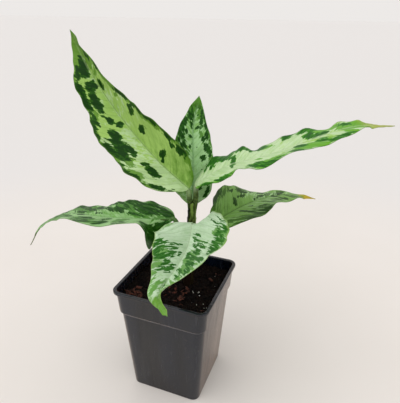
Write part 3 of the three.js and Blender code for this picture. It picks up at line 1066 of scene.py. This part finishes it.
grow_leaf(
    "leaf_upper_right",
    slot="leaf_silver",
    stalk=[(0.010, 0.006, 0.150), (0.012, 0.009, 0.167)],
    midrib=[
        (0.009, 0.015, 0.177), (0.033, 0.017, 0.194), (0.063, 0.029, 0.204),
        (0.113, 0.056, 0.222), (0.146, 0.082, 0.221),
    ],
    half_width=0.022,
    round=0.5,
    point=0.9,
    faces=[(-0.4, -0.4, 0.8), (-0.7, -0.1, 0.7), (-0.2, -0.4, 0.9)],
    fold=[(10, 15), (5, 5)],
    curl=(0.1, 0.1),
    wave=(0.0019, 4.5, (-0.4, -0.2)),
    ruffle=0.0034,
    waist=(0.2, 0.3),
    edges=[[(0.93, 0.09, -0.40)], [(0.87, 0.06, -0.50), (0.95, 0.06, -0.35)]],
    patches=[
        (14, -42, 3, 13), (9, -62, 1.8, 22), (18, -82, 9, 32), (25, -66, 5.5, 30),
        (29, -42, 2.8, 12), (30, -15, 2, 28), (29, 28, 1, 20), (36, -88, 7, 18), (42, -72, 2, 18),
        (47, -80, 4, 24), (64, -35, 2.2, 28), (66, -86, 5, 20), (68, -15, 1.8, 12),
        (58, -86, 1.8, 22), (24, 90, 6, 14), (14, 96, 6, 14), (40, 78, 3.5, 14), (47, 86, 5, 16),
        (43, 60, 2, 10), (57, 84, 2.2, 28), (59, 45, 1.8, 25), (65, 50, 1.6, 20), (70, 84, 4, 22),
        (76, -55, 3, 25),
    ],
    greens=[
        (77, -20, 6, 70), (85, -35, 5, 60), (74, 70, 2.5, 40), (5, 95, 8, 20), (44, 30, 2, 8),
        (50, -60, 2.5, 15), (20, 92, 14, 12), (46, 80, 8, 25), (62, 70, 6, 30), (70, -60, 6, 30),
        (80, 50, 4, 40),
    ],
    plain=0.0042,
    clear=0.0050,
    solid=0.0018,
    cells=190,
    ragged=(0.0080, 0.0036),
    streaks=0.55,
    slant=0.02,
    seed=0.87,
    ground=[(0.10, 0.20, 0.70), (0.05, 0.20, 0.80)],
    tip_span=(0.78, 0.90),
    silver=(196, 220, 176), fresh=(162, 202, 96), green=(92, 160, 26), dark=(62, 132, 26),
    deep=(32, 92, 18), tip=(168, 172, 84), rim=(60, 98, 34), rib=(200, 218, 180),
    rib_line=(140, 168, 116), stalk_green=(42, 60, 16), stalk_light=(88, 110, 46),
)

# ---- Leaf at the lower right ----
# A darker green leaf that points away to the right and twists over on its way. It has small
# spots and a yellowed tip.

grow_leaf(
    "leaf_lower_right",
    slot="leaf_dark",
    stalk=[(0.009, 0.005, 0.112), (0.018, 0.008, 0.132)],
    midrib=[
        (0.028, 0.011, 0.150), (0.039, 0.038, 0.152), (0.052, 0.063, 0.152),
        (0.071, 0.086, 0.150), (0.094, 0.105, 0.142),
    ],
    half_width=0.023,
    round=0.5,
    point=1.25,
    faces=[(-0.1, -0.5, 0.9), (-0.5, 0.4, 0.8), (0.8, 0.4, -0.4)],
    fold=[(60, 5), (-10, -20)],
    curl=(0, 0.05),
    lobe=(0, 0.07),
    wave=(0.0018, 2.6, (0.3, 0)),
    ruffle=0.0006,
    edges=[[(0.91, 0.07, -0.40)], [(0.91, 0.07, -0.40)]],
    patches=[
        (34, 88, 10, 12), (38, 60, 5, 10), (29, 74, 4, 7), (32, 25, 1.4, 10), (62, 10, 3, 20),
        (36, -43, 4, 7), (31, -75, 4, 8), (52, -25, 4, 12), (14, -92, 9, 12), (46, -12, 3, 7),
        (16, 92, 6, 12), (42, -62, 4, 8), (50, 70, 4, 12), (56, -60, 4, 14), (66, 60, 4, 16),
        (26, -28, 2, 20), (24, 48, 2, 24), (46, 36, 2, 20), (70, -30, 2, 28), (40, -80, 2, 16),
    ],
    greens=[
        (78, 50, 5, 35), (70, -50, 4, 40), (8, -85, 8, 14), (12, 72, 8, 30), (33, 72, 10, 24),
        (58, 62, 6, 20), (60, -40, 3, 30), (45, -75, 8, 20), (72, 10, 4, 20), (18, -90, 14, 22),
        (20, 92, 12, 16),
    ],
    plain=0.0025,
    clear=0.0030,
    solid=0.0009,
    cells=330,
    ragged=(0.0075, 0.0046),
    streaks=0.3,
    slant=0.12,
    seed=1.16,
    ground=[(1.20, 0.40, 0.80), (0.80, 0.45, 0.80)],
    tip_span=(0.84, 0.92),
    silver=(160, 200, 138), fresh=(126, 172, 86), green=(60, 100, 30), dark=(48, 88, 20),
    deep=(30, 64, 12), tip=(208, 180, 58), rim=(70, 100, 28), rib=(92, 128, 62),
    rib_line=(50, 78, 28), stalk_green=(46, 66, 18), stalk_light=(92, 118, 48),
)

# ---- Leaf at the lower left ----
# It runs out level to the left and hooks down at its dry brown tip. Next to the cane the half
# that faces the camera hangs straight down.

grow_leaf(
    "leaf_lower_left",
    slot="leaf_dark",
    stalk=[(0.009, 0.005, 0.112), (0.002, 0.004, 0.134)],
    midrib=[
        (-0.002, 0.002, 0.151), (-0.030, -0.014, 0.153), (-0.057, -0.021, 0.153),
        (-0.085, -0.019, 0.150), (-0.112, -0.022, 0.136), (-0.127, -0.024, 0.114),
    ],
    half_width=0.026,
    round=0.37,
    point=1.2,
    faces=[(-0.2, -0.3, 0.9), (0.2, 0, 1), (0.4, 0, 0.9)],
    fold=[(40, 5), (0, -15)],
    curl=(0.1, 0.05),
    lobe=(-0.15, 0),
    droop=(90, 0.06, 0.18),
    wave=(0.0009, 4.3, (0.3, -0.3)),
    ruffle=0.0016,
    # Painted shade: the broad patches at (10, -60) and (3, -30) darken the hanging half next to the
    # cane.
    patches=[
        (12, 55, 10, 40), (9, 82, 6, 16), (21, 22, 4, 10), (22, 86, 6, 16), (32, 92, 12, 13),
        (32, 48, 6, 17), (42, 64, 8, 8), (40, 22, 3.5, 7), (50, 46, 5, 16), (53, 10, 3.5, 15),
        (58, 80, 6, 22), (33, -35, 3, 16), (43, -40, 3.5, 14), (43, -80, 4.5, 20),
        (55, -64, 5, 16), (34, -70, 4, 16), (10, -60, 7, 50), (66, 50, 2.5, 35), (64, -30, 3, 25),
        (25, -80, 3, 16), (50, -20, 3, 10), (5, 45, 5, 40), (3, -30, 4, 60), (16, 30, 2.2, 20),
        (27, 72, 2.2, 20), (28, 35, 2, 14), (47, 78, 2.4, 18),
    ],
    greens=[
        (11, 45, 14, 50), (26, 66, 9, 26), (55, 55, 8, 45), (68, 40, 5, 55), (62, -60, 7, 35),
        (25, -45, 3, 30), (40, -65, 8, 22), (74, -30, 6, 50),
    ],
    plain=0.0030,
    clear=0.0036,
    solid=0.0011,
    cells=220,
    ragged=(0.0080, 0.0040),
    streaks=0.5,
    slant=0.06,
    seed=1.49,
    ground=[(0.30, 0.20, 0.40), (0.45, 0.40, 0.40)],
    tip_span=(0.83, 0.90),
    silver=(154, 196, 134), fresh=(122, 172, 94), green=(72, 126, 44), dark=(46, 96, 24),
    deep=(24, 68, 12), tip=(84, 80, 40), rim=(72, 106, 44), rib=(104, 148, 84),
    rib_line=(90, 128, 74), stalk_green=(36, 58, 16), stalk_light=(84, 112, 48),
)

# ---- Leaf in front ----
# A broad pale leaf that hangs forward over the pot's rim, and ends in a narrow green tail. Dark
# streaks run along its side veins.

grow_leaf(
    "leaf_front",
    slot="leaf_silver",
    stalk=[(0.009, 0.005, 0.120), (0.011, 0.001, 0.138)],
    midrib=[
        (0.013, 0, 0.151), (0.020, -0.026, 0.147), (0.024, -0.054, 0.147),
        (0.0243, -0.0825, 0.145), (0.0378, -0.0990, 0.1458),
    ],
    half_width=0.027,
    round=0.5,
    point=1.6,
    faces=[(0.4, -0.8, 0.4), (0.4, -0.7, 0.5), (-0.1, -0.6, 0.8)],
    fold=[(40, 10), (45, 35)],
    curl=(-0.25, 0.3),
    lobe=(0.12, 0),
    wave=(0.002, 3.3, (-0.6, 0.1)),
    ruffle=0.0014,
    waist=(0.45, 0.2),
    tail=0.0027,
    edges=[[(0.38, 0.07, 0.08)], [(0, 0.30, -0.12), (0.70, 0.09, -0.20)]],
    patches=[
        (20, -22, 5, 12), (27, -25, 3.5, 9), (31, -46, 4, 9), (39, -20, 4.5, 11), (41, -38, 7, 13),
        (50, -48, 8, 20), (58, -32, 4.5, 20), (20, -88, 8, 13), (30, -80, 8, 15), (38, -80, 7, 17),
        (46, 86, 8.5, 17), (42, 62, 4, 15), (43, 36, 7, 13), (52, 42, 4.5, 14), (54, 20, 3.5, 12),
        (39, 14, 3, 5), (66, -5, 3, 12), (36, 52, 2.2, 26), (50, 66, 2.4, 28), (58, 48, 2.2, 28),
        (47, -62, 2.4, 24), (56, -55, 2.2, 26),
    ],
    greens=[
        (60, 80, 8, 22), (66, 2, 5, 16), (74, 60, 4, 40), (86, 40, 7, 50), (62, -60, 12, 34),
        (84, -30, 9, 55), (45, -32, 12, 22), (50, 70, 8, 22), (30, -84, 12, 20), (9, 95, 8, 14),
    ],
    plain=0.0040,
    clear=0.0044,
    solid=0.0008,
    cells=300,
    ragged=(0.0085, 0.0042),
    streaks=0.36,
    slant=0.18,
    seed=1.77,
    ground=[(0.05, 0.30, 0.75), (0.05, 0.20, 0.75)],
    tip_span=(0.74, 0.81),
    silver=(202, 225, 196), fresh=(152, 196, 134), green=(98, 152, 66), dark=(60, 118, 44),
    deep=(36, 92, 24), tip=(98, 148, 46), rim=(150, 184, 96), rib=(196, 216, 184),
    rib_line=(160, 188, 144), stalk_green=(56, 80, 28), stalk_light=(116, 142, 72),
)
